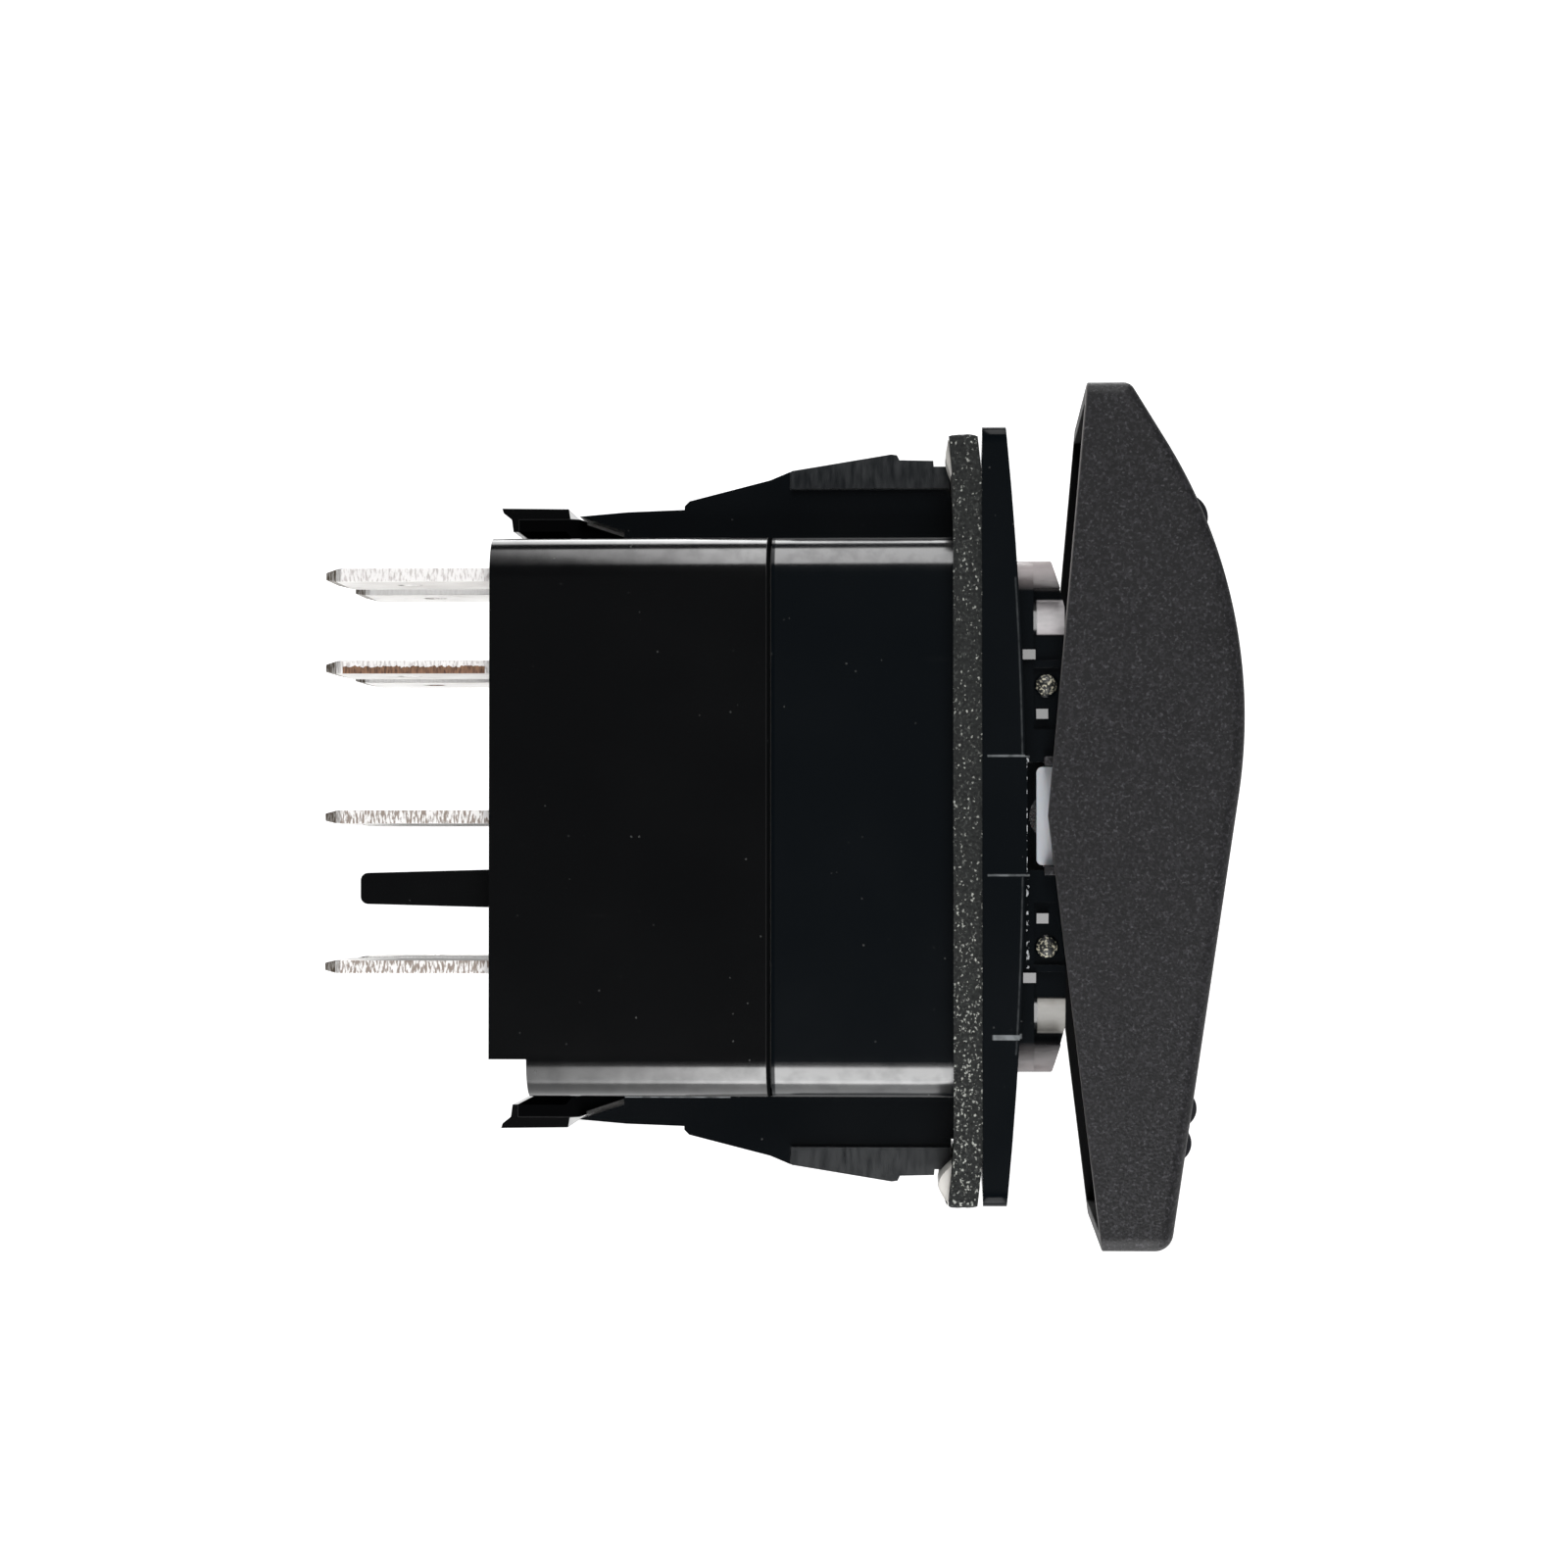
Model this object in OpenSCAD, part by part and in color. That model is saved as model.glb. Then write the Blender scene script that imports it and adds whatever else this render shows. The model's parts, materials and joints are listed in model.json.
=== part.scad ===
// Sealed, lighted rocker switch that snaps into a panel cut-out from the front.
// Frame: the origin is the middle of the seat on the panel (rear of the gasket),
// +X points out of the panel towards the finger, +Z runs up the rocker's length,
// and Y crosses its width. Left is -Y, as seen by somebody facing the rocker.

/* [Rocker] */
// Length of the rocker
rocker_len = 51; // [50.4:0.1:52]
// Width of the rocker
rocker_w = 24.9; // [24.6:0.1:25.6]
// Thickness of the rocker's face
face_t = 1.8; // [1.4:0.1:2]
// Wall thickness of the rocker's ends
end_t = 1; // [0.8:0.1:1.4]
// Thickness of the rocker's side walls
side_t = 1.3; // [1.1:0.1:1.4]
// Slope of the short upper face, in degrees
upper_slope = 31.5; // [29:0.5:33]
// Slope of the long lower face, in degrees
lower_slope = 8.6; // [7:0.2:10]
// Radius of the crown between the two faces
crown_r = 31; // [25:1:34]
// Height of the upper end's front edge above the panel
upper_edge_x = 10.42; // [10:0.02:11]
// Height of the lower end's front edge above the panel
lower_edge_x = 12.68; // [12.3:0.02:13]
// Height of the skirt above the panel at the pivot
skirt_x = 5.55; // [5.5:0.05:5.8]
// Rise of the skirt towards its upper end, in degrees
skirt_up = 5.2; // [5:0.1:6]
// Rise of the skirt towards its lower end, in degrees
skirt_down = 6.9; // [6:0.1:7.5]
// Width of the indicator lenses
lens_w = 12.5; // [10:0.5:14]

/* [Pivot] */
// Height of the rocker's axis above the panel
pivot_x = 6; // [5.9:0.05:6.1]
// Radius of the steel pivot pin
pin_r = 1.5; // [1.2:0.1:1.6]
// Running clearance of the pin and plungers in their bores
running = 0.05; // [0.03:0.01:0.08]

/* [Front bracket] */
// Length of the bezel flange
bezel_len = 45.8; // [45:0.1:47]
// Width of the bezel flange
bezel_w = 24.6; // [24:0.1:25]
// Height of the flange's crowned face at its middle
bezel_top = 4.23; // [4.1:0.01:4.25]
// Radius of the crown along the flange
bezel_crown_r = 232; // [200:4:300]
// Length of the raised collar under the rocker
collar_len = 30.3; // [29.8:0.1:30.6]
// Width of the raised collar
collar_w = 20.8; // [20.7:0.05:21]
// Height of the collar above the panel
collar_top = 6.6; // [6.2:0.1:6.7]
// Width of the snap wings
wing_w = 12; // [10.5:0.5:13]

/* [Housing] */
// Length of the housing, which passes the panel cut-out
body_len = 33.5; // [33.3:0.1:33.6]
// Width of the housing
body_w = 20.3; // [20:0.1:20.6]
// Radius of the long edges of the housing
corner_r = 2.2; // [1.6:0.1:2.4]
// Wall thickness of the housing
wall = 1.6; // [1.4:0.1:1.7]
// Depth of the seam between the bracket and the base
seam_x = -10.85; // [-11:0.05:-10.8]
// Depth of the base's shoulder
shoulder_x = -25.4; // [-25.6:0.1:-25.2]
// Depth of the base's rear face
rear_x = -27.65; // [-27.8:0.05:-27.5]

/* [Gasket] */
// Length of the foam gasket
gasket_len = 45.5; // [44.5:0.1:46]
// Width of the foam gasket
gasket_w = 24.4; // [24:0.1:24.8]
// Thickness of the foam gasket
gasket_t = 1.7; // [1.7:0.1:1.7]

/* [Terminals] */
// Width of the push-on tabs
tab_w = 6.3; // [6.3:0.1:6.3]
// Thickness of the push-on tabs
tab_t = 0.8; // [0.8:0.1:0.8]
// Depth of the tab tips
tab_tip = -37.9; // [-38:0.1:-37.4]
// Distance of each terminal column from the middle
column_y = 5.45; // [5.4:0.05:5.5]
// Distance of the outer contact rows from the middle row
row_z = 9; // [8.9:0.1:9.1]
// Distance of the lamp terminals' row from the middle row
lamp_row_z = 14.55; // [14.5:0.05:14.6]

/* [Hidden] */

$fn = 64;
half_len = rocker_len / 2;
pole_y = 4.9;                    // each pole's plunger and blade, from the middle
bat_w = 14.4;                    // width of the actuator's stem
bat_half = 2.6;                  // half its thickness along Z
bat_end = -9;                    // depth of its lower end
plunger_r = 1.6;
plunger_tip = -15.3;
plunger_top = -4;
spring_seat = 1;                 // floor of the plunger bores
blade_x = -16;                   // knife edge that the blades tip on
blade_t = 0.6;
blade_w = 4.4;
blade_slope = 7.6;               // each arm's rise away from the middle
contact_z = 8;
contact_r = 1.5;
button_t = 0.8;
shelf_x = -17.7;                 // top of the outer terminals' shelves
floor_x = -24.6;                 // inside of the base's floor
lamp_stem_x = -20;               // top of the lamp terminals' stems
deck_top = 1;                    // plate across the bracket that carries the pivot
deck_rear = -0.8;
lug_in = 7.35;                   // inner face of the pivot lugs
lug_out = 8.6;
cheek_in = 8.8;                  // inner face of the actuator's cheeks
cheek_out = 10.4;
led_z = 10.5;
seal_t = 0.6;                    // width of the housing seal
fit = 0.05;                      // clearance between fixed parts
hook_w = 9.6;                    // width of the hooks that tie the base to the bracket

// Unit vector and corner geometry for the rounded outlines
function unit(v) = v / norm(v);
function after(list, i) = list[(i + 1) % len(list)];
function before(list, i) = list[(i + len(list) - 1) % len(list)];

// Height of each sloping face of the rocker at its end, sunk by inset
function upper_x(inset) = upper_edge_x - inset / cos(upper_slope) + inset * tan(upper_slope);
function lower_x(inset) = lower_edge_x - inset / cos(lower_slope) + inset * tan(lower_slope);

// Point where the two sloping faces would meet, sunk by inset
function apex(inset) =
    let (h = half_len - inset, tu = tan(upper_slope), tl = tan(lower_slope),
        z = (upper_x(inset) - lower_x(inset) + h * (tu - tl)) / (tu + tl))
    [upper_x(inset) + tu * (h - z), z];

// Middle of the crown's arc, and the face's height and tilt at a height z along it
crown_reach = crown_r * tan((upper_slope + lower_slope) / 2);
crown_centre = apex(0) + crown_reach * [-sin(upper_slope), cos(upper_slope)]
    - crown_r * [cos(upper_slope), sin(upper_slope)];
crown_low = crown_centre.y - crown_r * sin(lower_slope);
function face_tilt(z) = z < crown_low ? -lower_slope : asin((z - crown_centre.y) / crown_r);
function face_x(z) = z < crown_low ? lower_edge_x + tan(lower_slope) * (half_len + z)
    : crown_centre.x + crown_r * cos(face_tilt(z));

module mirror_z() {
    children();
    mirror([0, 0, 1]) children();
}

module mirror_y() {
    children();
    mirror([0, 1, 0]) children();
}

// Extrudes an outline drawn in X and Z across the width, middled on y
module across(width, y = 0) {
    translate([0, y + width / 2, 0]) rotate([90, 0, 0]) linear_extrude(width) children();
}

// Extrudes an outline drawn in Y and Z from one depth to another
module along_x(from, to) {
    translate([from, 0, 0]) rotate([90, 0, 90]) linear_extrude(to - from) children();
}

// Rod across the width
module rod(r, y0, y1, x, z) {
    translate([x, y1, z]) rotate([90, 0, 0]) cylinder(r = r, h = y1 - y0);
}

// Rod along X
module peg(r, x0, x1, y, z) {
    translate([x0, y, z]) rotate([0, 90, 0]) cylinder(r = r, h = x1 - x0);
}

module box(x0, x1, y0, y1, z0, z1) {
    translate([x0, y0, z0]) cube([x1 - x0, y1 - y0, z1 - z0]);
}

// Rectangle with round corners, middled on the origin
module rounded(w, h, r) {
    square([w - 2 * r, h], center = true);
    square([w, h - 2 * r], center = true);
    for (sy = [-1, 1], sz = [-1, 1])
        translate([sy * (w / 2 - r), sz * (h / 2 - r)]) circle(r);
}

// Outline whose corners have their own radii, 0 for a sharp one
module rounded_outline(points, radii) {
    difference() {
        polygon(points);
        for (i = [0 : len(points) - 1])
            if (radii[i] > 0) corner_waste(before(points, i), points[i], after(points, i), radii[i]);
    }
}

module corner_waste(a, p, b, r) {
    u = unit(a - p);
    v = unit(b - p);
    half = acos(u * v) / 2;
    centre = p + unit(u + v) * r / sin(half);
    difference() {
        polygon([p + u * r / tan(half), p + (p - centre) * 0.1, p + v * r / tan(half)]);
        translate(centre) circle(r, $fn = 128);
    }
}

// Side view of the rocker's outside
module rocker_side() {
    rounded_outline(
        [[skirt_x + half_len * tan(skirt_up), half_len], [upper_edge_x, half_len], apex(0),
            [lower_edge_x, -half_len], [skirt_x + half_len * tan(skirt_down), -half_len], [skirt_x, 0]],
        [0, 0.5, crown_r, 0.9, 0, 0]);
}

// Side view of the hollow behind the rocker's face
module rocker_hollow() {
    h = half_len - end_t;
    upper = upper_edge_x - face_t / cos(upper_slope) + end_t * tan(upper_slope);
    lower = lower_edge_x - face_t / cos(lower_slope) + end_t * tan(lower_slope);
    rounded_outline([[0, h], [upper, h], apex(face_t), [lower, -h], [0, -h]],
        [0, 0.4, crown_r - face_t, 0.6, 0]);
}

// Places a shape on the rocker's face at a height, with +X out of the face
module on_face(z) {
    translate([face_x(z), 0, z]) rotate([0, -face_tilt(z), 0]) children();
}

upper_lens_z = 18.3;
lower_lens_z = -18.6;
upper_lens_h = 2.6;
lower_lens_h = 4.2;
lens_flange = 0.7;
lens_seat = face_t + 0.1;        // front of the lens's flange, clear of the curved face's inside

// Bar lens: a stem through the face, a flange behind it and a raised crown
module lens(height, ridge_z, ridge_r, proud) {
    across(lens_w) translate([-lens_seat, -height / 2]) square([lens_seat + 0.15, height]);
    across(lens_w + 2 * lens_flange)
        translate([-lens_seat - lens_flange, -height / 2 - lens_flange])
            square([lens_flange, height + 2 * lens_flange]);
    for (z = ridge_z) across(lens_w) intersection() {
        translate([proud - ridge_r, z]) circle(ridge_r);
        translate([0.1, -height / 2]) square([ridge_r, height]);
    }
}

module upper_lens() {
    color([0.1, 0.1, 0.11]) on_face(upper_lens_z) lens(upper_lens_h, [0], 1.45, 0.78);
}

module lower_lens() {
    color([0.1, 0.1, 0.11]) on_face(lower_lens_z)
        lens(lower_lens_h, [lower_lens_h / 2 - 1.05, 1.05 - lower_lens_h / 2], 1.2, 0.66);
}

module rocker_cap() {
    hollow_w = rocker_w - 2 * side_t;
    color("dimgray") {
        difference() {
            across(rocker_w) rocker_side();
            across(hollow_w) rocker_hollow();
            for (lens_at = [[upper_lens_z, upper_lens_h], [lower_lens_z, lower_lens_h]])
                on_face(lens_at[0]) across(lens_w) translate([-4, -lens_at[1] / 2]) square([8, lens_at[1]]);
        }
        // ribs that stand on the actuator's bridge and carry its snap pips
        mirror_y() {
            difference() {
                box(6.6, face_x(0) - 1, cheek_out, hollow_w / 2 + 0.2, -2.4, 2.4);
                rod(snap_r, cheek_out - 1, cheek_out + snap_out, snap_x, 0);
            }
            box(bridge_top, face_x(0) - 1, 8.4, cheek_out, -2.4, 2.4);
        }
        for (z = [-8, 8])
            box(face_x(z) - 3.4, face_x(z) - 1.2, -hollow_w / 2 - 0.2, hollow_w / 2 + 0.2, z - 0.6, z + 0.6);
    }
}

snap_r = 1.1;
snap_x = 9.7;
snap_out = 0.5;
bridge_rear = 8.9;
bridge_top = 11;

module actuator() {
    color("white") difference() {
        union() {
            rod(3, -bat_w / 2, bat_w / 2, pivot_x, 0);
            box(bat_end, bridge_rear + 0.1, -bat_w / 2, bat_w / 2, -bat_half, bat_half);
            box(bridge_rear, bridge_top, -cheek_out, cheek_out, -2.9, 2.9);
            mirror_y() {
                across(cheek_out - cheek_in, (cheek_out + cheek_in) / 2)
                    rounded_outline([[4.9, -2.9], [bridge_top, -2.9], [bridge_top, 2.9], [4.9, 2.9]],
                        [0.35, 0, 0, 0.35]);
                rod(snap_r, cheek_out - 0.2, cheek_out + snap_out, snap_x, 0);
            }
        }
        rod(pin_r + running, -cheek_in, cheek_in, pivot_x, 0);
        for (y = [-pole_y, pole_y]) peg(plunger_r + running, bat_end - 1, spring_seat, y, 0);
    }
}

module pivot_pin() {
    color("silver") rod(pin_r, -lug_out, lug_out, pivot_x, 0);
}

// Spring-loaded plunger: a stem with a round nose that rides on the contact blade
module plunger(y) {
    peg(plunger_r, plunger_tip + plunger_r, plunger_top, y, 0);
    translate([plunger_tip + plunger_r, y, 0]) sphere(plunger_r);
    peg(0.8, plunger_top - 0.1, plunger_top + 1, y, 0);
}

module left_plunger() {
    color("ivory") plunger(-pole_y);
}

module right_plunger() {
    color("ivory") plunger(pole_y);
}

spring_r = 1.2;
wire_r = 0.2;
spring_turns = 5;
turn_steps = 18;
wire_sides = 8;

// Compression spring between the plunger's shoulder and the end of its bore
module plunger_spring(y) {
    steps = spring_turns * turn_steps;
    x0 = plunger_top + wire_r + 0.03;
    rise = spring_seat - plunger_top - 2 * wire_r - 0.06;
    rings = [for (i = [0 : steps])
        let (turn = 360 * i / turn_steps, x = x0 + rise * i / steps)
        [for (s = [0 : wire_sides - 1])
            let (a = 360 * s / wire_sides, r = spring_r + wire_r * cos(a))
            [x + wire_r * sin(a), y + r * cos(turn), r * sin(turn)]]];
    walls = [for (i = [0 : steps - 1], s = [0 : wire_sides - 1])
        let (n = (s + 1) % wire_sides, a = i * wire_sides, b = a + wire_sides)
        [a + s, a + n, b + n, b + s]];
    ends = [[for (s = [wire_sides - 1 : -1 : 0]) s],
        [for (s = [0 : wire_sides - 1]) steps * wire_sides + s]];
    polyhedron(points = [for (ring = rings) each ring], faces = concat(walls, ends), convexity = 10);
}

module left_plunger_spring() {
    color("silver") plunger_spring(-pole_y);
}

module right_plunger_spring() {
    color("silver") plunger_spring(pole_y);
}

// Shallow V blade that tips on the middle terminal, and its two silver contacts
module contact_blade(y) {
    rise = tan(blade_slope);
    reach = 9.8;
    thick = blade_t / cos(blade_slope);
    across(blade_w, y) polygon([[blade_x, 0], [blade_x + reach * rise, reach],
        [blade_x + thick + reach * rise, reach], [blade_x + thick, 0],
        [blade_x + thick + reach * rise, -reach], [blade_x + reach * rise, -reach]]);
}

module blade_contacts(y) {
    mirror_z() translate([blade_x, y, 0]) rotate([0, blade_slope, 0])
        peg(contact_r, -button_t, 0, 0, contact_z);
}

module left_contact_blade() {
    color("peru") contact_blade(-pole_y);
}

module right_contact_blade() {
    color("peru") contact_blade(pole_y);
}

module left_blade_contacts() {
    color("silver") blade_contacts(-pole_y);
}

module right_blade_contacts() {
    color("silver") blade_contacts(pole_y);
}

// Silver rivets on the shelves of the outer terminals
module fixed_contacts() {
    color("silver") for (y = [-pole_y, pole_y]) mirror_z()
        peg(contact_r, shelf_x, shelf_x + button_t, y, contact_z);
}

// Push-on tab with a bevelled tip and an eyelet, and its stem through the floor
module tab(y, z, top) {
    tip_l = 0.85;
    tip_t = 0.45;
    nick = 1.1;
    stem_w = 5.4;
    difference() {
        intersection() {
            across(tab_w, y) polygon([[tab_tip, z - tip_t / 2], [tab_tip + tip_l, z - tab_t / 2],
                [floor_x, z - tab_t / 2], [floor_x, z + tab_t / 2],
                [tab_tip + tip_l, z + tab_t / 2], [tab_tip, z + tip_t / 2]]);
            translate([0, y, z - 1]) linear_extrude(2) polygon([[tab_tip, nick - tab_w / 2],
                [tab_tip + nick, -tab_w / 2], [floor_x + 1, -tab_w / 2], [floor_x + 1, tab_w / 2],
                [tab_tip + nick, tab_w / 2], [tab_tip, tab_w / 2 - nick]]);
        }
        translate([tab_tip + eyelet_x, y, z - 1]) cylinder(r = eyelet_r, h = 2);
    }
    box(floor_x - 0.1, top, y - stem_w / 2, y + stem_w / 2, z - tab_t / 2, z + tab_t / 2);
}

eyelet_x = 4.8;
eyelet_r = 0.75;

// Middle terminal: its stem's top edge is the blade's knife edge
module common_terminal(side) {
    color("gainsboro") tab(side * column_y, 0, blade_x - 0.05);
}

// Outer terminal: its stem bends inwards into a shelf for the fixed contact
module contact_terminal(side, end) {
    color("gainsboro") {
        tab(side * column_y, end * row_z, shelf_x);
        mirror([0, 0, end < 0 ? 1 : 0])
            box(shelf_x - tab_t, shelf_x, side * column_y - 2.7, side * column_y + 2.7,
                6.2, row_z + tab_t / 2);
    }
}

module lamp_terminal(side) {
    color("gainsboro") tab(side * column_y, lamp_row_z, lamp_stem_x);
}

module terminal_1() {
    contact_terminal(1, -1);
}

module terminal_2() {
    common_terminal(1);
}

module terminal_3() {
    contact_terminal(1, 1);
}

module terminal_4() {
    contact_terminal(-1, -1);
}

module terminal_5() {
    common_terminal(-1);
}

module terminal_6() {
    contact_terminal(-1, 1);
}

module terminal_7() {
    lamp_terminal(1);
}

module terminal_8() {
    lamp_terminal(-1);
}

// Crowned flange with a proud block beside the pivot on each side
module flange() {
    half = bezel_len / 2;
    intersection() {
        along_x(gasket_t, bezel_top) rounded(bezel_w, bezel_len, 0.6);
        across(bezel_w + 2) intersection() {
            translate([gasket_t, -half]) square([bezel_top, bezel_len]);
            translate([bezel_top - bezel_crown_r, 0]) circle(bezel_crown_r, $fn = 720);
        }
    }
    mirror_y() box(gasket_t, bezel_top + 0.1, cheek_out + 0.2, bezel_w / 2, -3.5, 3.5);
}

// Plan of the collar's upper wall: a rounded fall-away at each end, and beside it a polished
// hollow that slopes back towards the wall
module collar_plan() {
    wall_y = collar_w / 2 - 0.45;
    square([2 * wall_y, 21.7], center = true);
    square([18.4, collar_len - 0.2], center = true);
    mirror_z_plan() mirror_y_plan() {
        intersection() {
            translate([8.8, 10.8]) square([2, 2.25]);
            translate([wall_y - 5.05, 9.56]) circle(5.35, $fn = 160);
        }
        intersection() {
            translate([8.8, 13.5]) square([2, 3]);
            rounded(collar_w - 0.1, collar_len + 1.4, 2.85);
        }
    }
}

module mirror_z_plan() {
    children();
    mirror([0, 1]) children();
}

module mirror_y_plan() {
    children();
    mirror([1, 0]) children();
}

// Small block on the collar whose face slopes back over its length
module sloped_pad(x0, x1, z0, z1, y0, y1) {
    along_x(x0, x1) polygon([[y1 - 1, z0], [y0, z0], [y1, z1], [y1 - 1, z1]]);
}

// Raised collar: a plain band below, and above it a wall with moulded details
module collar() {
    band_x = 4.74;
    half_w = collar_w / 2;
    along_x(3, band_x) rounded(collar_w, collar_len, 1.3);
    intersection() {
        union() {
            along_x(3, collar_top) collar_plan();
            mirror_y() mirror_z() {
                // blocks beside the pivot and beside the boss
                box(3, collar_top, half_w - 1.45, half_w - 0.05, 3.2, 5.1);
                box(3, collar_top, half_w - 1.45, half_w - 0.1, 8.8, 9.2);
                sloped_pad(4.1, 4.85, 9.25, 9.85, half_w + 0.3, half_w);
                sloped_pad(4.9, 5.6, 5.75, 6.35, half_w - 0.1, half_w - 0.4);
                // round boss
                translate([5.5, half_w - 0.65, 7.75]) sphere(0.75);
            }
        }
        across(collar_w + 2) rounded_outline(
            [[0, -collar_len / 2], [5.8, -collar_len / 2], [6.3, 1.6 - collar_len / 2],
                [collar_top, 2.7 - collar_len / 2], [collar_top, collar_len / 2 - 2.7],
                [6.3, collar_len / 2 - 1.6], [5.8, collar_len / 2], [0, collar_len / 2]],
            [0, 0.15, 0.3, 0.3, 0.3, 0.3, 0.15, 0]);
    }
}

// Side view of one snap wing and the leg that reaches back to the base's hook
module wing_side() {
    polygon([[0.5, 16.9], [0.5, 19.4], [-0.2, 19.4], [-0.2, 21.2], [-1.2, 21.2], [-1.2, 21.55],
        [-3.25, 21.6], [-3.4, 21.9], [-3.75, 21.95], [-9.9, 20.95], [-11.1, 20.45], [-16, 19.2],
        [-16.3, 18.9], [-16.3, 18.68], [-19.8, 18.55], [-22.7, 18.3], [-19.95, 17.4], [-19.95, 16.9]]);
}

// Side view of the base's hook, which the leg bears on when the two parts snap together
module hook_side() {
    polygon([[-27.55, 18.9], [-27.45, 18.6], [-26.95, 18.2], [-26.85, 17.45], [-23.6, 17.45],
        [-22.9, 16.6], [-20.05, 16.6], [-20.05, 17.3], [-22.75, 18.2], [-23.35, 18.25], [-23.45, 18.85]]);
}

module mounting_bracket() {
    color([0.06, 0.07, 0.08]) {
        difference() {
            union() {
                flange();
                collar();
                along_x(seam_x + fit, gasket_t + 0.1) rounded(body_w, body_len, corner_r);
            }
            // tub above the deck, and the chamber below it
            along_x(deck_top, 9) rounded(2 * lug_out, 26.6, 0.8);
            along_x(seam_x - 1, deck_rear) rounded(body_w - 2 * wall, body_len - 2 * wall, 0.8);
            // opening for the actuator's stem
            box(-2, 3, -lug_in, lug_in, -5.5, 5.5);
            // notches for the actuator's cheeks
            mirror_y() box(4.3, 9, lug_out - 1, cheek_out + 0.2, -3.2, 3.2);
            // holes for the LEDs
            mirror_z() peg(1.55, -2, 3, 0, led_z);
            // core-out behind each snap wing's root
            mirror_z() box(gasket_t - 1, 3.1, -4.2, 4.2, 19.9, 21.3);
        }
        // pivot lugs
        mirror_y() difference() {
            union() {
                box(deck_top - 0.2, pivot_x, lug_in, lug_out, -2.4, 2.4);
                box(deck_top - 0.2, 5.3, lug_in, lug_out, -3.6, 3.6);
                rod(2.4, lug_in, lug_out, pivot_x, 0);
            }
            rod(pin_r, 0, 12, pivot_x, 0);
        }
        // snap wings: a grip pad on three webs, joined to the flange and to a leg
        mirror_z() {
            for (y = [-1, 0, 1]) across(1.4, y * (wing_w / 2 - 1.05)) wing_side();
            across(wing_w) intersection() {
                wing_side();
                translate([-9.8, 19.9]) square([9.6, 3]);
            }
            across(wing_w - 0.7) intersection() {
                wing_side();
                polygon([[-23, 16.5], [-23, 19], [-16, 19.1], [-9.8, 21.5], [-9.8, 19.8], [-16, 17.9],
                    [-16, 16.5]]);
            }
            across(wing_w - 0.8) translate([-16.2, 16.9]) square([1, 1.4]);
            box(-0.2, gasket_t + 0.1, 0.7 - wing_w / 2 + 0.8, wing_w / 2 - 1.5, 16.9, 19.4);
        }
    }
}

module panel_gasket() {
    color([0.23, 0.24, 0.24]) along_x(0, gasket_t) difference() {
        rounded(gasket_w, gasket_len, 0.6);
        rounded(body_w + 0.2, body_len + 0.2, corner_r);
        square([wing_w + 0.3, 39], center = true);
    }
}

module base_housing() {
    plinth_low = 2.3;            // how much shorter the rear step is at its lower end
    key_z = -4.3;                // rib that lets the connector on one way round only
    key_w = 15;
    key_end = -35.75;
    color([0.05, 0.055, 0.06]) {
        difference() {
            union() {
                along_x(shoulder_x, seam_x - fit) rounded(body_w, body_len, corner_r);
                along_x(rear_x, shoulder_x + 0.1) intersection() {
                    rounded(body_w, body_len, corner_r);
                    translate([0, plinth_low]) square([body_w, body_len], center = true);
                }
            }
            along_x(floor_x, 0) rounded(body_w - 2 * wall, body_len - 2 * wall, 0.8);
            along_x(seam_x - seal_t - fit, 0) seal_ring();
            // terminal slots
            for (y = [-column_y, column_y], z = [-row_z, 0, row_z, lamp_row_z])
                box(rear_x - 1, floor_x + 1, y - tab_w / 2 - fit, y + tab_w / 2 + fit,
                    z - tab_t / 2 - fit, z + tab_t / 2 + fit);
        }
        mirror_z() across(hook_w) hook_side();
        // barrier between the poles
        box(floor_x - 0.1, -13.5, -0.6, 0.6, -12, 12);
        across(key_w) rounded_outline([[rear_x + 0.1, key_z - 1.15], [key_end, key_z - 0.93],
            [key_end, key_z + 0.93], [rear_x + 0.1, key_z + 1.15]], [0, 0.45, 0.45, 0]);
    }
}

module seal_ring() {
    difference() {
        rounded(body_w - wall + seal_t, body_len - wall + seal_t, corner_r - 0.5);
        rounded(body_w - wall - seal_t, body_len - wall - seal_t, corner_r - 1.1);
    }
}

module housing_seal() {
    color("darkslategray") along_x(seam_x - seal_t - fit, seam_x + fit) seal_ring();
}

// Rubber diaphragm under the deck that grips the actuator's stem
module actuator_boot() {
    color([0.1, 0.1, 0.1]) difference() {
        union() {
            along_x(deck_rear - 0.7, deck_rear) rounded(body_w - 2 * wall - 0.2, 15.4, 1);
            along_x(deck_rear - 2.2, deck_rear) rounded(bat_w + 1.4, 2 * bat_half + 1.4, 0.9);
        }
        along_x(deck_rear - 3, 1) square([bat_w, 2 * bat_half], center = true);
    }
}

lead_x = -3.3;                   // depth of the lamp wiring, under the deck
lead_r = 0.3;
lead_y = 7.85;                   // where the wiring rises, beside the blades
leg_y = 0.9;
resistor_y = 4.2;
resistor_half = 1.9;
upper_feed_z = 14;               // height of the wiring to each LED
lower_feed_z = -9;

// LED in the deck, with its flange, dome and two legs
module led(z) {
    peg(1.5, deck_rear, 3.4, 0, z);
    translate([3.4, 0, z]) sphere(1.5);
    peg(1.9, deck_top, 1.9, 0, z);
    for (y = [-leg_y, leg_y]) peg(0.25, lead_x + lead_r, deck_rear + 0.1, y, z);
}

module upper_led() {
    color("orangered") led(led_z);
}

module lower_led() {
    color("orangered") led(-led_z);
}

// Dropping resistor in the right-hand wire to each LED
module resistor(z) {
    rod(0.75, resistor_y - resistor_half, resistor_y + resistor_half, lead_x, z);
    for (y = [resistor_y - resistor_half, resistor_y + resistor_half - 0.8])
        rod(0.88, y, y + 0.8, lead_x, z);
}

module upper_led_resistor() {
    color("tan") resistor(upper_feed_z);
}

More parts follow.
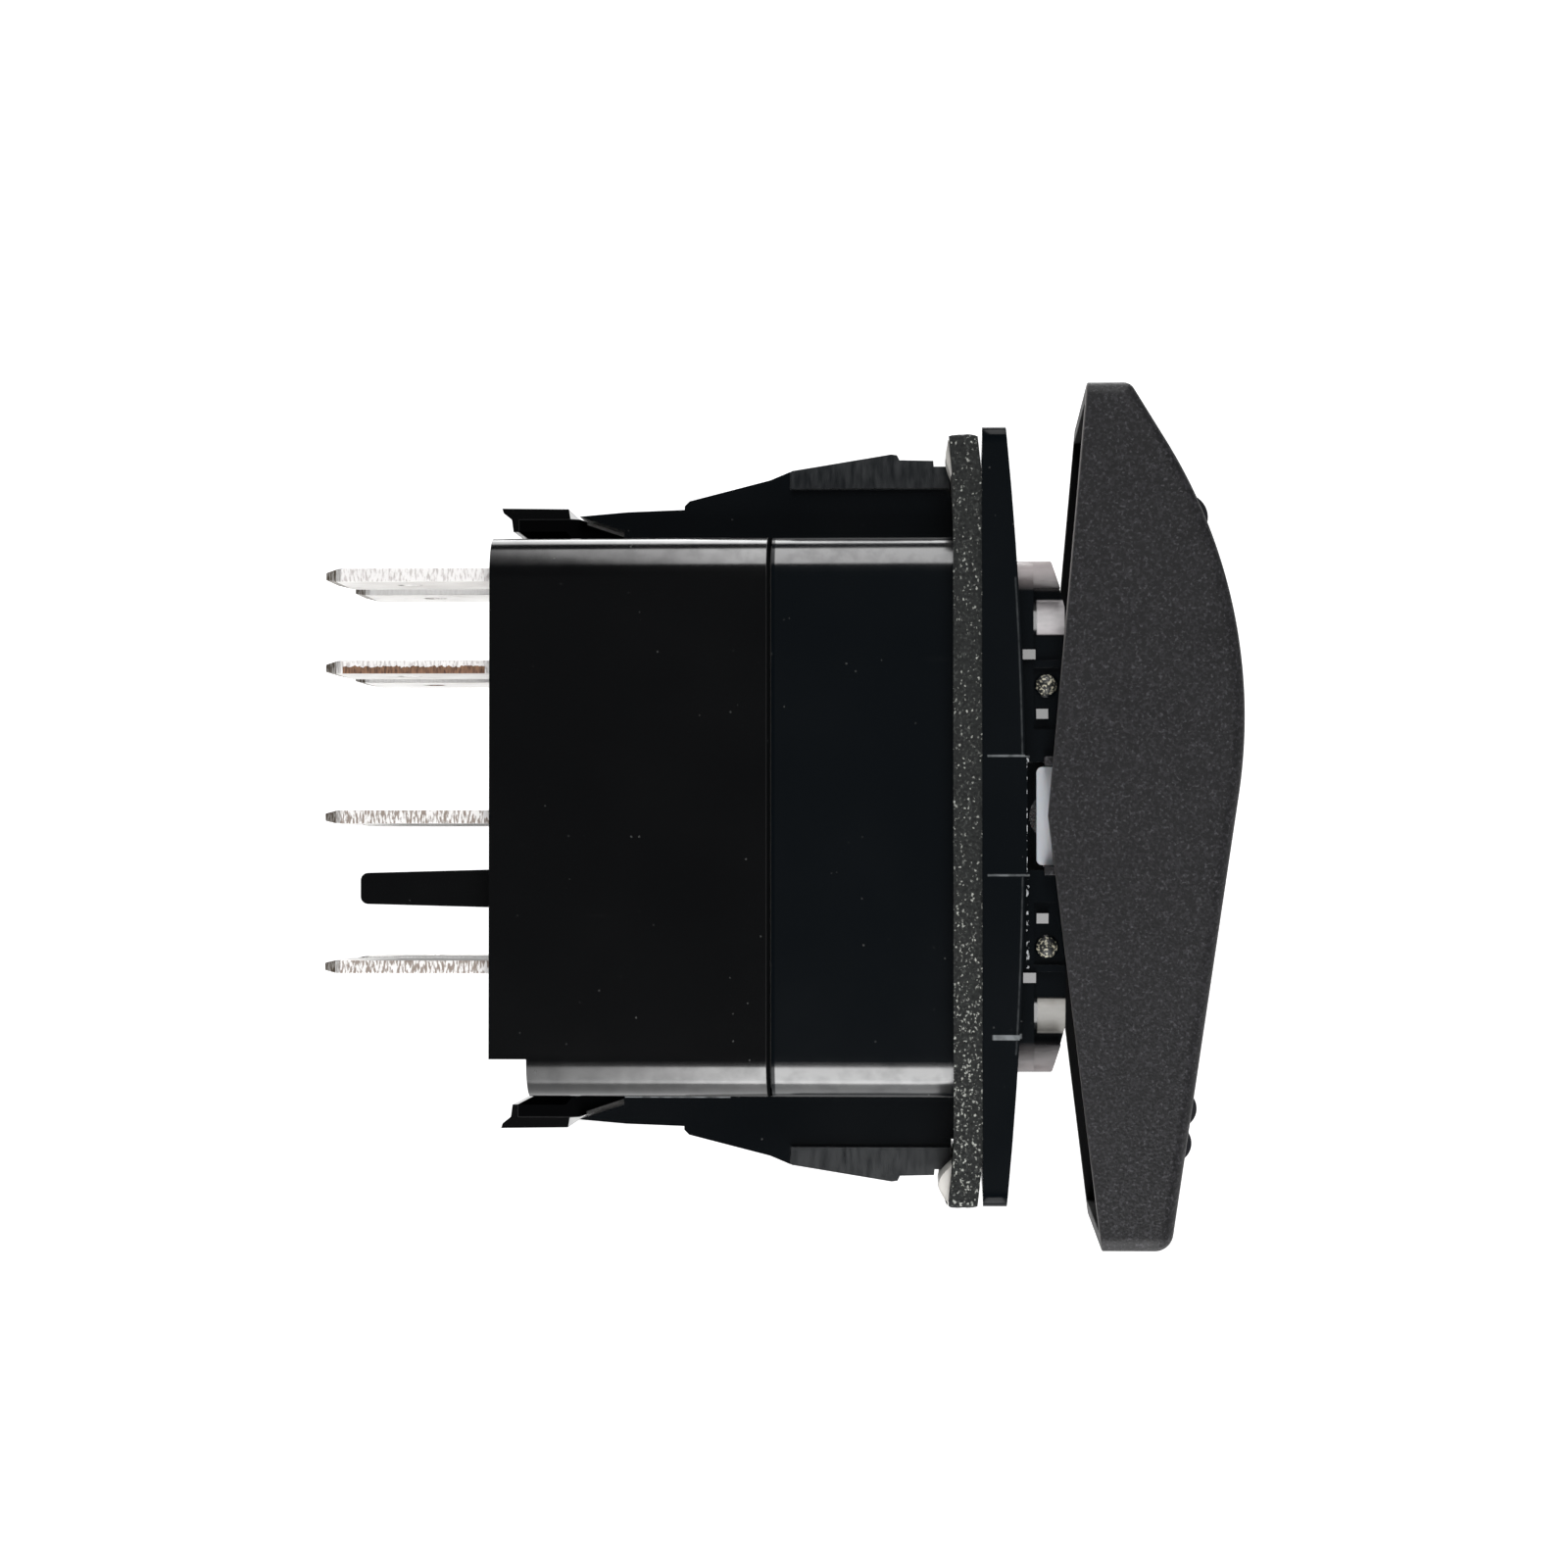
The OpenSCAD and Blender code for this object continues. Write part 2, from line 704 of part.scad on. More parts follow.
module lower_led_resistor() {
    color("tan") resistor(lower_feed_z);
}

// Tinned wires from a pair of terminals up to the two legs of an LED
module lamp_leads(foot_x, z, led_at) {
    for (side = [-1, 1]) {
        peg(lead_r, foot_x, lead_x, side * lead_y, z);
        translate([lead_x, side * lead_y, z]) sphere(lead_r);
        translate([lead_x, side * leg_y, z]) sphere(lead_r);
        translate([lead_x, side * leg_y, min(z, led_at)]) cylinder(r = lead_r, h = abs(z - led_at));
    }
    rod(lead_r, -lead_y, -leg_y, lead_x, z);
    rod(lead_r, resistor_y + resistor_half, lead_y, lead_x, z);
    rod(lead_r, leg_y, resistor_y - resistor_half, lead_x, z);
}

module upper_lamp_leads() {
    color("silver") lamp_leads(lamp_stem_x, upper_feed_z, led_z);
}

module lower_lamp_leads() {
    color("silver") lamp_leads(shelf_x, lower_feed_z, -led_z);
}

rocker_cap();
upper_lens();
lower_lens();
actuator();
pivot_pin();
left_plunger();
right_plunger();
left_plunger_spring();
right_plunger_spring();
left_contact_blade();
right_contact_blade();
left_blade_contacts();
right_blade_contacts();
fixed_contacts();
mounting_bracket();
panel_gasket();
base_housing();
housing_seal();
actuator_boot();
upper_led();
lower_led();
upper_led_resistor();
lower_led_resistor();
upper_lamp_leads();
lower_lamp_leads();
terminal_1();
terminal_2();
terminal_3();
terminal_4();
terminal_5();
terminal_6();
terminal_7();
terminal_8();
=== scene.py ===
import json
import math

import bmesh
import bpy
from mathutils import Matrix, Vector, noise


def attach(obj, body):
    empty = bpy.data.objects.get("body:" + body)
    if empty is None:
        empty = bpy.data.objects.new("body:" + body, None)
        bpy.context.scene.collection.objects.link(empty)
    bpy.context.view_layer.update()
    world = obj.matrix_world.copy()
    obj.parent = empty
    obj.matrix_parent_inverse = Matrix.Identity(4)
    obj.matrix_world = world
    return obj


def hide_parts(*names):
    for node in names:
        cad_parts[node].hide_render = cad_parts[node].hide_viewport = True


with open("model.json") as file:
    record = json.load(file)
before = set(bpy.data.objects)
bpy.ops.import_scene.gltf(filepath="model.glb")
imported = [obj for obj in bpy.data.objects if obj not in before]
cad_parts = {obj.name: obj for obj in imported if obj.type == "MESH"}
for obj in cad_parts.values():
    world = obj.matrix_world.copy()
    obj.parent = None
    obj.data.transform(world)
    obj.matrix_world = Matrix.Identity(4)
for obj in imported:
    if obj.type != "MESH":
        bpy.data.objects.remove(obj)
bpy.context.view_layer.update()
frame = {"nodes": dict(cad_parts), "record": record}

MM = 0.001


# ---------------------------------------------------------------- camera, light and backdrop

def look_along(obj, yaw, pitch):
    """Turns a camera or light to face a direction: yaw 0 is +Y, pitch is above the horizon."""
    aim = Vector((math.sin(yaw) * math.cos(pitch), math.cos(yaw) * math.cos(pitch), math.sin(pitch)))
    obj.rotation_mode = "QUATERNION"
    obj.rotation_quaternion = aim.to_track_quat("-Z", "Y")


def add_camera():
    """Long lens, square on to the switch's left side, aimed a little left and up to frame it."""
    camera = bpy.data.objects.new("camera", bpy.data.cameras.new("camera"))
    bpy.context.collection.objects.link(camera)
    camera.location = Vector((0.455, -229.87, -3.226)) * MM
    look_along(camera, -0.04775, 0.02336)
    camera.data.lens = 85.13
    camera.data.sensor_width = 36
    camera.data.clip_start = 0.01
    camera.data.clip_end = 20
    bpy.context.scene.camera = camera


def add_softbox(name, centre, width, height, radiance):
    """Rectangular light facing the switch, unseen by the camera itself."""
    light = bpy.data.lights.new(name, "AREA")
    light.shape = "RECTANGLE"
    light.size = width
    light.size_y = height
    light.energy = radiance * math.pi * width * height
    lamp = bpy.data.objects.new(name, light)
    bpy.context.collection.objects.link(lamp)
    lamp.location = centre
    lamp.rotation_mode = "QUATERNION"
    lamp.rotation_quaternion = (-Vector(centre)).to_track_quat("-Z", "Y")
    lamp.visible_camera = False


def add_world():
    """White behind everything the camera sees, and a dark room for reflections."""
    world = bpy.data.worlds.new("studio")
    bpy.context.scene.world = world
    world.use_nodes = True
    tree = world.node_tree
    tree.nodes.clear()
    out = tree.nodes.new("ShaderNodeOutputWorld")
    mix = tree.nodes.new("ShaderNodeMixShader")
    room = tree.nodes.new("ShaderNodeBackground")
    white = tree.nodes.new("ShaderNodeBackground")
    path = tree.nodes.new("ShaderNodeLightPath")
    room.inputs["Color"].default_value = (0.95, 0.97, 1.0, 1)
    room.inputs["Strength"].default_value = 0.028
    white.inputs["Color"].default_value = (1, 1, 1, 1)
    white.inputs["Strength"].default_value = 1.05
    tree.links.new(path.outputs["Is Camera Ray"], mix.inputs["Fac"])
    tree.links.new(room.outputs[0], mix.inputs[1])
    tree.links.new(white.outputs[0], mix.inputs[2])
    tree.links.new(mix.outputs[0], out.inputs["Surface"])


def add_floor():
    """Plain white table below the switch, swept up into a wall behind it."""
    front, back, half, level, top, curve = -0.10, 1.2, 1.3, -0.22, 1.2, 0.35
    steps = 12
    side = [(front, level), (back - curve, level)]
    for i in range(1, steps):
        turn = 0.5 * math.pi * i / steps
        side.append((back - curve + curve * math.sin(turn), level + curve * (1 - math.cos(turn))))
    side += [(back, level + curve), (back, top)]
    verts = [(x, y, z) for y, z in side for x in (-half, half)]
    faces = [(2 * i, 2 * i + 1, 2 * i + 3, 2 * i + 2) for i in range(len(side) - 1)]
    mesh = bpy.data.meshes.new("floor")
    mesh.from_pydata(verts, [], faces)
    mesh.shade_smooth()
    floor = bpy.data.objects.new("floor", mesh)
    bpy.context.collection.objects.link(floor)
    mat = bpy.data.materials.new("floor_white")
    mat.use_nodes = True
    shader = mat.node_tree.nodes["Principled BSDF"]
    shader.inputs["Base Color"].default_value = (0.6, 0.6, 0.6, 1)
    shader.inputs["Roughness"].default_value = 0.9
    shader.inputs["Emission Color"].default_value = (1, 1, 1, 1)
    shader.inputs["Emission Strength"].default_value = 1.0
    mesh.materials.append(mat)


add_camera()
add_world()
add_floor()
# name, centre, size across X, size the other way, brightness of its surface
add_softbox("key_above_front", (0.02, -0.17, 0.27), 0.16, 0.32, 6)
add_softbox("key_above_back", (0.0, 0.20, 0.30), 0.22, 0.20, 6)
add_softbox("fill_below_front", (0.0, -0.13, -0.15), 0.10, 0.20, 7)
add_softbox("strip_right", (0.30, -0.06, 0.0), 0.03, 0.50, 3.5)
add_softbox("strip_left", (-0.30, -0.06, 0.0), 0.03, 0.50, 3)

scene = bpy.context.scene
scene.view_settings.view_transform = "Standard"
scene.view_settings.look = "None"


# ---------------------------------------------------------------- material building blocks

class Shader:
    """A material under construction, with short calls for the nodes that it uses."""

    def __init__(self, name, color, roughness, **sockets):
        self.mat = bpy.data.materials.new(name)
        self.mat.use_nodes = True
        self.tree = self.mat.node_tree
        self.bsdf = self.tree.nodes["Principled BSDF"]
        self.bsdf.inputs["Base Color"].default_value = (*color, 1)
        self.bsdf.inputs["Roughness"].default_value = roughness
        for key, value in sockets.items():
            self.bsdf.inputs[key.replace("_", " ")].default_value = value
        coords = self.tree.nodes.new("ShaderNodeTexCoord")
        self.place = coords.outputs["Object"]

    def node(self, kind, **settings):
        made = self.tree.nodes.new("ShaderNode" + kind)
        for key, value in settings.items():
            setattr(made, key, value)
        return made

    def put(self, socket, value):
        """Feeds a socket with a number, a colour or another node's output."""
        if isinstance(value, tuple):
            socket.default_value = (*value, 1)
        elif isinstance(value, (int, float)):
            socket.default_value = value
        else:
            self.tree.links.new(value, socket)

    def set(self, socket, value):
        self.put(self.bsdf.inputs[socket], value)

    # patterns

    def stretched(self, scale):
        """Object coordinates scaled per axis, to stretch a texture."""
        mapping = self.node("Mapping")
        mapping.inputs["Scale"].default_value = scale
        self.put(mapping.inputs["Vector"], self.place)
        return mapping.outputs["Vector"]

    def noise(self, size_mm, detail=4.0, where=None):
        """Soft random pattern whose features are about size_mm."""
        tex = self.node("TexNoise")
        tex.inputs["Scale"].default_value = 1 / (size_mm * MM)
        tex.inputs["Detail"].default_value = detail
        self.put(tex.inputs["Vector"], where or self.place)
        return tex.outputs["Fac"]

    def cells(self, size_mm, where=None, output="Distance"):
        """Random cells of about size_mm."""
        tex = self.node("TexVoronoi", feature="F1")
        tex.inputs["Scale"].default_value = 1 / (size_mm * MM)
        self.put(tex.inputs["Vector"], where or self.place)
        return tex.outputs[output]

    # places and directions

    def along(self, axis):
        """Object coordinate along an axis, in metres."""
        split = self.node("SeparateXYZ")
        self.put(split.inputs[0], self.place)
        return split.outputs[axis]

    def far(self, axis):
        """Distance from the middle of the switch along an axis, in metres."""
        return self.math("ABSOLUTE", self.along(axis), 0)

    def normal(self, axis):
        """One component of the direction that the surface faces."""
        geometry = self.node("NewGeometry")
        split = self.node("SeparateXYZ")
        self.put(split.inputs[0], geometry.outputs["True Normal"])
        return split.outputs[axis]

    def facing(self, axis):
        """How squarely the surface faces along X, Y or Z, from 0 to 1."""
        return self.math("ABSOLUTE", self.normal(axis), 0)

    # arithmetic

    def math(self, operation, a, b):
        node = self.node("Math", operation=operation)
        self.put(node.inputs[0], a)
        self.put(node.inputs[1], b)
        return node.outputs[0]

    def times(self, *values):
        """Product of all the values."""
        whole = values[0]
        for value in values[1:]:
            whole = self.math("MULTIPLY", whole, value)
        return whole

    def plus(self, a, b):
        return self.math("ADD", a, b)

    def most(self, *values):
        """Largest of the values."""
        best = values[0]
        for value in values[1:]:
            best = self.math("MAXIMUM", best, value)
        return best

    def outside(self, mask):
        """1 where a mask is 0, and the other way round."""
        return self.math("SUBTRACT", 1.0, mask)

    def mix(self, factor, a, b):
        """Blend from colour a to colour b."""
        node = self.node("Mix", data_type="RGBA")
        for index, value in ((0, factor), (6, a), (7, b)):
            self.put(node.inputs[index], value)
        return node.outputs[2]

    def ramp(self, value, stops):
        """Curve from value to grey, with straight steps between stops."""
        ramp = self.node("ValToRGB")
        elements = ramp.color_ramp.elements
        while len(elements) < len(stops):
            elements.new(0.5)
        for element, (at, grey) in zip(elements, stops):
            element.position = at
            element.color = (grey, grey, grey, 1)
        self.put(ramp.inputs["Fac"], value)
        return ramp.outputs["Color"]

    def bump(self, height, depth_mm, strength=1.0, over=None):
        """Adds relief of about depth_mm on top of any earlier bump."""
        node = self.node("Bump")
        node.inputs["Strength"].default_value = strength
        node.inputs["Distance"].default_value = depth_mm * MM
        self.put(node.inputs["Height"], height)
        if over is not None:
            self.put(node.inputs["Normal"], over)
        self.set("Normal", node.outputs["Normal"])
        return node.outputs["Normal"]

    # masks, which take a length in metres and limits in millimetres

    def beyond(self, value, limit):
        return self.math("GREATER_THAN", value, limit * MM)

    def before(self, value, limit):
        return self.math("LESS_THAN", value, limit * MM)

    def rise(self, value, start, stop):
        """Climbs from 0 at one distance to 1 at another."""
        height = self.math("MULTIPLY", self.math("SUBTRACT", value, start * MM), 1 / ((stop - start) * MM))
        return self.math("MINIMUM", self.math("MAXIMUM", height, 0.0), 1.0)

    def band(self, value, low, high, soft=0.12):
        """1 where a value lies between two distances, with soft edges."""
        up = self.rise(value, low - soft / 2, low + soft / 2)
        down = self.rise(value, high + soft / 2, high - soft / 2)
        return self.math("MINIMUM", up, down)

    def within(self, x, z, soft=0.12):
        """1 inside a span of X and a span of distance from the middle in Z, with soft edges."""
        return self.times(self.band(self.along(0), *x, soft), self.band(self.far(2), *z, soft))


# ---------------------------------------------------------------- materials

# places on the CAD pieces that the materials mark, in millimetres
SEAM_X = -10.85           # where the base meets the bracket
CORNER_Z = (14.3, 16.74)  # the housing's rounded corners, as distances from the middle
BLOCK_Z = 3.5             # half height of the block in the middle of the flange
CROWN_RADIUS = 232        # radius of the flange's front edge, seen from the side
BOSS = (5.5, 7.75, 0.62)  # X, distance from the middle and radius of the collar's small bosses
TAB_TIP_X = -37.9
COPPER_Z = 9              # row of tabs whose edges show bare copper

BLACK_GLOSS = {"roughness": 0.17, "Specular_IOR_Level": 0.65}


def rocker_plastic():
    """Charcoal moulding with a fine spark-eroded grain."""
    s = Shader("rocker_plastic", (0.022, 0.022, 0.023), 0.55, Specular_IOR_Level=0.38)
    grain = s.noise(0.15, 5)
    pits = s.cells(0.19)
    cloud = s.noise(3.5, 3)
    tone = s.cells(0.16, output="Color")
    base = s.mix(cloud, (0.0032, 0.0032, 0.004), (0.0055, 0.0053, 0.0065))
    base = s.mix(s.ramp(tone, [(0.45, 0.0), (0.95, 1.0)]), base, (0.025, 0.024, 0.028))
    fleck = s.ramp(s.noise(0.2, 3), [(0.58, 0.0), (0.70, 0.8)])
    base = s.mix(fleck, base, (0.060, 0.058, 0.065))
    base = s.mix(s.ramp(pits, [(0.0, 0.9), (0.45, 0.0)]), base, (0.002, 0.002, 0.0025))
    # painted highlight: the skirt's rim, where it faces back, is painted pale, more so on the upper half
    rearward = s.ramp(s.times(s.normal(0), -1.0), [(0.3, 0.0), (0.6, 0.9)])
    upper = s.ramp(s.rise(s.along(2), 7.5, 12.5), [(0.0, 0.2), (1.0, 1.0)])
    painted_rim_highlight = s.times(rearward, s.beyond(s.far(1), 11.0), upper)
    s.set("Base Color", s.mix(painted_rim_highlight, base, (0.30, 0.285, 0.28)))
    s.set("Roughness", s.ramp(cloud, [(0.3, 0.5), (0.7, 0.62)]))
    over = s.bump(grain, 0.04, 0.7)
    s.bump(pits, 0.03, 0.5, over)
    return s.mat


def black_nylon(s, color):
    """Colour and roughness of glossy black nylon: faint moulding flow, a few hairlines, specks of dust."""
    flow = s.noise(9, 3)
    streaks = s.ramp(s.noise(1.1, 2, s.stretched((0.08, 1, 1))), [(0.70, 0.0), (0.73, 1.0)])
    hairlines = s.times(streaks, s.ramp(s.noise(5.0, 2), [(0.5, 0.0), (0.6, 0.6)]))
    specks = s.ramp(s.cells(0.9), [(0.05, 1.0), (0.09, 0.0)])
    dust_and_edge_highlight = s.times(specks, s.ramp(s.noise(2.2, 2), [(0.54, 0.0), (0.62, 1.0)]), 0.3)
    level = s.plus(s.times(flow, 0.136), 0.102)
    level = s.plus(s.plus(level, s.times(hairlines, 0.06)), s.times(dust_and_edge_highlight, 0.6))
    over = s.bump(flow, 0.02, 0.3)
    s.bump(s.noise(0.5, 5), 0.002, 0.3, over)
    return s.mix(dust_and_edge_highlight, color, (0.12, 0.125, 0.12)), level


def base_plastic():
    """The base's gloss black, dull inside the hooks and shiniest on the corners near the bracket."""
    color = (0.0028, 0.003, 0.0033)
    s = Shader("base_plastic", color, **BLACK_GLOSS)
    base, level = black_nylon(s, color)
    hooks = s.within((-26.5, -19.2), (16.85, 18.2), 0.1)
    dull = s.most(hooks, s.band(s.along(0), -11.1, SEAM_X, 0.06))
    # light catches the hook's edge, which falls 1 in 3
    slope = s.plus(s.far(2), s.times(s.along(0), 1 / 3))
    edge = s.times(s.band(slope, 10.42, 10.64, 0.05), s.band(s.along(0), -22.3, -20.0))
    s.set("Base Color", s.mix(edge, base, (0.88, 0.87, 0.84)))
    corner = s.within((-27.7, SEAM_X), CORNER_Z, 0.3)
    fade = s.ramp(s.rise(s.along(0), 0, -25), [(0.45, 0.97), (0.7, 0.62), (1.0, 0.4)])
    fade = s.times(fade, s.ramp(s.noise(1.1, 4), [(0.35, 0.8), (0.6, 1.0)]))
    shine = s.plus(s.times(corner, fade), s.times(s.outside(corner), 0.65))
    s.set("Specular IOR Level", s.times(shine, s.outside(dull)))
    s.set("Roughness", s.plus(level, dull))
    return s.mat


def flange_painted_highlights(s):
    """Painted highlights: pale dotted specks along the flange's front edge, and thin pale lines on the step
    edges of the flange's sides and the wings' legs.
    """
    side = s.ramp(s.facing(1), [(0.5, 0.0), (0.7, 1.0)])
    ledge = s.within((4.3, 4.46), (-1.0, 9.0), 0.05)
    dots = s.ramp(s.noise(0.3, 4), [(0.54, 0.0), (0.60, 1.0)])
    dust_and_edge_highlight = s.times(ledge, dots, s.before(s.along(2), 3.4), s.beyond(s.far(1), 10.2), side)
    across = s.times(s.within((2.0, 4.5), (BLOCK_Z - 0.06, BLOCK_Z + 0.06), 0.05), 0.5)
    lowest = s.times(s.band(s.along(2), -13.15, -12.85, 0.05), s.band(s.along(0), 2.3, 4.0), 0.7)
    sag = s.times(s.along(2), s.along(2), 0.5 / (CROWN_RADIUS * MM))
    front = s.times(s.band(s.plus(s.along(0), sag), 4.02, 4.12, 0.06), 0.13)
    front = s.times(front, s.within((3.0, 4.5), (BLOCK_Z, 14.0)))
    foot = s.within((-19.9, -13.5), (16.8, 16.96), 0.05)
    uneven = s.ramp(s.noise(0.5, 4), [(0.3, 0.35), (0.6, 1.0)])
    return dust_and_edge_highlight, s.times(s.most(across, lowest, front, foot), side, uneven)


def bracket_plastic():
    """The bracket's gloss black, greyer on the snap wings' grip pads, with painted highlights on the collar's
    ends and hollows and along the flange's edges.
    """
    color = (0.0026, 0.0038, 0.005)
    s = Shader("bracket_plastic", color, **BLACK_GLOSS)
    base, level = black_nylon(s, color)
    # the grip pads lie behind the panel seat, further out than the housing's ends
    pad = s.within((-9.9, -0.1), (19.85, 23.0), 0.06)
    brushed = s.noise(0.35, 4, s.stretched((1, 1, 0.25)))
    uneven = s.times(pad, s.ramp(brushed, [(0.3, 0.35), (0.7, 1.0)]))
    base = s.mix(uneven, base, (0.0095, 0.0118, 0.014))
    level = s.plus(level, s.times(uneven, 0.3))
    # painted highlights: the collar's round ends and the hollows beside them are painted pale, less so at the
    # lower end
    smear = s.noise(0.7, 4, s.stretched((0.5, 1, 1)))
    end = s.times(s.within((3.3, 7.0), (13.3, 15.2)), s.rise(s.far(2), 13.333, 14.917))
    end = s.times(end, s.before(s.far(1), 11.6), s.ramp(smear, [(0.3, 0.7), (0.7, 1.0)]))
    painted_hollow_highlight = s.within((4.95, 6.6), (10.75, 12.85), 0.08)
    painted_hollow_highlight = s.times(painted_hollow_highlight, s.ramp(smear, [(0.25, 0.6), (0.6, 1.0)]))
    upper = s.beyond(s.along(2), 0)
    base = s.mix(end, base, s.mix(upper, (0.19, 0.17, 0.17), (0.42, 0.37, 0.37)))
    base = s.mix(painted_hollow_highlight, base, s.mix(upper, (0.27, 0.26, 0.24), (0.56, 0.53, 0.54)))
    # painted glints: pale gold specks in the rough texture of the two small bosses
    boss_x, boss_z, boss_r = BOSS
    off = s.math("SUBTRACT", s.along(0), boss_x * MM)
    climb = s.math("SUBTRACT", s.far(2), boss_z * MM)
    boss = s.math("LESS_THAN", s.plus(s.times(off, off), s.times(climb, climb)), (boss_r * MM) ** 2)
    painted_boss_glint = s.times(s.ramp(s.noise(0.15, 4), [(0.52, 0.0), (0.60, 1.0)]), boss)
    base = s.mix(painted_boss_glint, base, (0.55, 0.52, 0.40))
    # painted highlights: pale specks on the flange's front edge and pale lines on its step edges
    dust_and_edge_highlight, painted_edge_lines = flange_painted_highlights(s)
    base = s.mix(dust_and_edge_highlight, base, (0.6, 0.62, 0.64))
    s.set("Base Color", s.mix(painted_edge_lines, base, (0.30, 0.32, 0.33)))
    # the flange's two ends are dull, and so is the edge that meets the base; the housing's corners shine
    dull = s.most(s.within((-0.2, 4.2), (22.0, 23.4), 0.3), s.within((SEAM_X, -10.6), (-1.0, 16.8), 0.06))
    corner = s.within((SEAM_X, 0.5), CORNER_Z, 0.3)
    patchy = s.ramp(s.noise(1.1, 4), [(0.35, 0.8), (0.55, 1.0)])
    shine = s.plus(s.times(corner, s.math("SUBTRACT", 0.35, s.times(upper, 0.22))), 0.65)
    shine = s.times(shine, s.most(patchy, s.outside(corner)))
    s.set("Specular IOR Level", s.times(shine, s.outside(s.times(dull, 0.85))))
    s.set("Roughness", s.plus(level, s.times(s.most(end, painted_hollow_highlight, boss), 0.35)))
    return s.mat


def foam():
    """Dark closed-cell foam: torn cells on the cut edges glint, more so on the lower half."""
    s = Shader("foam", (0.02, 0.021, 0.021), 0.75, Specular_IOR_Level=0.3)
    patch = s.noise(2.0, 3)
    pore = s.cells(0.24)
    fibre = s.noise(0.17, 5)
    tone = s.cells(0.10, s.stretched((1, 1, 0.7)), "Color")
    base = s.mix(s.ramp(pore, [(0.05, 0.0), (0.6, 1.0)]), (0.003, 0.0035, 0.0035), (0.014, 0.0155, 0.015))
    base = s.mix(s.ramp(patch, [(0.35, 0.0), (0.65, 0.5)]), base, (0.011, 0.012, 0.012))
    base = s.mix(s.ramp(fibre, [(0.54, 0.0), (0.66, 0.8)]), base, (0.05, 0.053, 0.05))
    lower = s.rise(s.along(2), -2.5, -12.5)
    glint = s.ramp(s.plus(tone, s.times(lower, 0.10)), [(0.80, 0.0), (0.88, 1.0)])
    glint = s.times(glint, s.ramp(fibre, [(0.47, 0.0), (0.56, 1.0)]))
    s.set("Base Color", s.mix(glint, base, (0.38, 0.39, 0.36)))
    s.set("Roughness", s.ramp(glint, [(0.0, 0.8), (1.0, 0.35)]))
    over = s.bump(pore, 0.09, 0.8)
    s.bump(fibre, 0.05, 0.6, over)
    return s.mat


def tinned_copper():
    """Tin plate on the faces; pale, finely hatched sheared edges, with bare copper on one row."""
    s = Shader("tinned_copper", (0.74, 0.73, 0.71), 0.35, Metallic=1.0)
    cloud = s.noise(2.4, 4)
    rolled = s.noise(0.30, 3, s.stretched((0.12, 1, 1)))
    tin = s.mix(s.ramp(cloud, [(0.3, 0.0), (0.7, 1.0)]), (0.66, 0.64, 0.62), (0.78, 0.77, 0.75))
    scuff = s.ramp(s.noise(0.5, 3, s.stretched((0.3, 1, 1))), [(0.62, 0.0), (0.68, 0.7)])
    scuff = s.times(scuff, s.ramp(s.noise(2.0, 2), [(0.5, 0.0), (0.6, 1.0)]))
    tin = s.mix(scuff, tin, (0.25, 0.23, 0.21))
    # sheared edges carry short upright strokes across the strip's thickness, darker on the lower rows
    edge = s.ramp(s.facing(1), [(0.6, 0.0), (0.8, 1.0)])
    hatch = s.noise(0.13, 4, s.stretched((1.0, 1.0, 0.25)))
    scales = s.noise(0.22, 4, s.stretched((0.8, 1.0, 0.6)))
    torn = s.mix(s.ramp(hatch, [(0.38, 0.0), (0.52, 1.0)]), (0.62, 0.58, 0.57), (0.95, 0.93, 0.92))
    lower = s.times(s.before(s.along(2), 5), s.ramp(hatch, [(0.44, 1.0), (0.54, 0.0)]), 0.85)
    torn = s.mix(lower, torn, (0.26, 0.20, 0.16))
    torn = s.mix(s.ramp(scales, [(0.62, 0.0), (0.70, 0.5)]), torn, (0.45, 0.41, 0.38))
    # painted light: the edges between the two columns, which lie in shade, are painted paler
    inner = s.before(s.far(1), 5)
    torn = s.mix(s.times(inner, 0.8), torn, (0.97, 0.96, 0.95))
    # the punch left the lower half of the copper row's edges ragged and bare
    ragged = s.plus(s.along(2), s.times(s.math("SUBTRACT", scales, 0.5), 0.5 * MM))
    bare = s.times(s.before(ragged, COPPER_Z + 0.04), s.beyond(ragged, COPPER_Z - 0.7))
    bare = s.times(bare, s.beyond(s.along(0), TAB_TIP_X + 1.2), s.before(s.along(0), -28.1), s.outside(inner))
    copper = s.mix(s.ramp(hatch, [(0.35, 0.0), (0.6, 1.0)]), (0.09, 0.045, 0.028), (0.28, 0.15, 0.088))
    torn = s.mix(bare, torn, copper)
    # the chamfered tips are dark
    tip = s.before(s.along(0), TAB_TIP_X + 0.75)
    nick = s.times(tip, s.ramp(hatch, [(0.42, 1.0), (0.62, 0.5)]))
    s.set("Base Color", s.mix(nick, s.mix(edge, tin, torn), (0.09, 0.07, 0.05)))
    s.set("Specular IOR Level", s.ramp(tip, [(0.0, 0.5), (1.0, 0.12)]))
    s.set("Metallic", s.ramp(s.most(edge, tip), [(0.0, 1.0), (1.0, 0.12)]))
    s.set("Roughness", s.plus(s.ramp(rolled, [(0.3, 0.34), (0.7, 0.5)]), s.times(edge, 0.15)))
    over = s.bump(rolled, 0.008, 0.4)
    s.bump(s.times(hatch, edge), 0.03, 0.4, over)
    return s.mat


def metal(name, color, roughness, grain_mm=0.25, stretch=(1, 1, 1), stain=None):
    """Metal with a fine drawn or tumbled grain and soft tarnish."""
    s = Shader(name, color, roughness, Metallic=1.0)
    cloud = s.noise(1.6, 4)
    grain = s.noise(grain_mm, 4, s.stretched(stretch))
    dark = stain or tuple(c * 0.72 for c in color)
    s.set("Base Color", s.mix(s.ramp(cloud, [(0.35, 0.0), (0.7, 1.0)]), dark, color))
    s.set("Roughness", s.ramp(grain, [(0.3, roughness * 0.75), (0.7, roughness * 1.3)]))
    s.bump(grain, 0.01, 0.4)
    return s.mat


